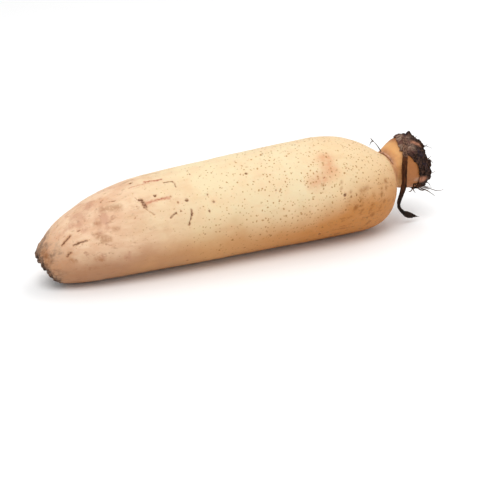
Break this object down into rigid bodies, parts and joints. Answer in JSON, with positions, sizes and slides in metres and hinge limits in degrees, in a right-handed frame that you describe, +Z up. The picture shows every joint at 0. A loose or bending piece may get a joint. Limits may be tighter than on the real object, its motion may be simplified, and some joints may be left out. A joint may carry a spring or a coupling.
{
  "type": "lotus root segment",
  "caption": "Whole swollen segment of a lotus rhizome lying on its side: a tapering pale tuber with a round cut node, a dark torn sheath cap, short rootlets and a long hanging root.",
  "frame": {"origin": "middle of the small flat spot under the body on which the root rests, on the surface that it lies on", "axes": "+X along the root from its tail scar to its cut node, +Z up, +Y to the side away from the long hanging root"},
  "size_m": [0.2598, 0.0612, 0.06],
  "materials": {
    "root_skin": "thin smooth cream to tan skin with fine brown pores, scratches and a pink bruise",
    "dry_sheath": "dry, fibrous, torn, near black brown",
    "dry_scale": "dry, papery, pinkish brown"
  },
  "bodies": {
    "root": {"lotus_root": "root_skin", "node_sheath": "dry_sheath", "neck_scale": "dry_scale"}
  },
  "joints": []
}
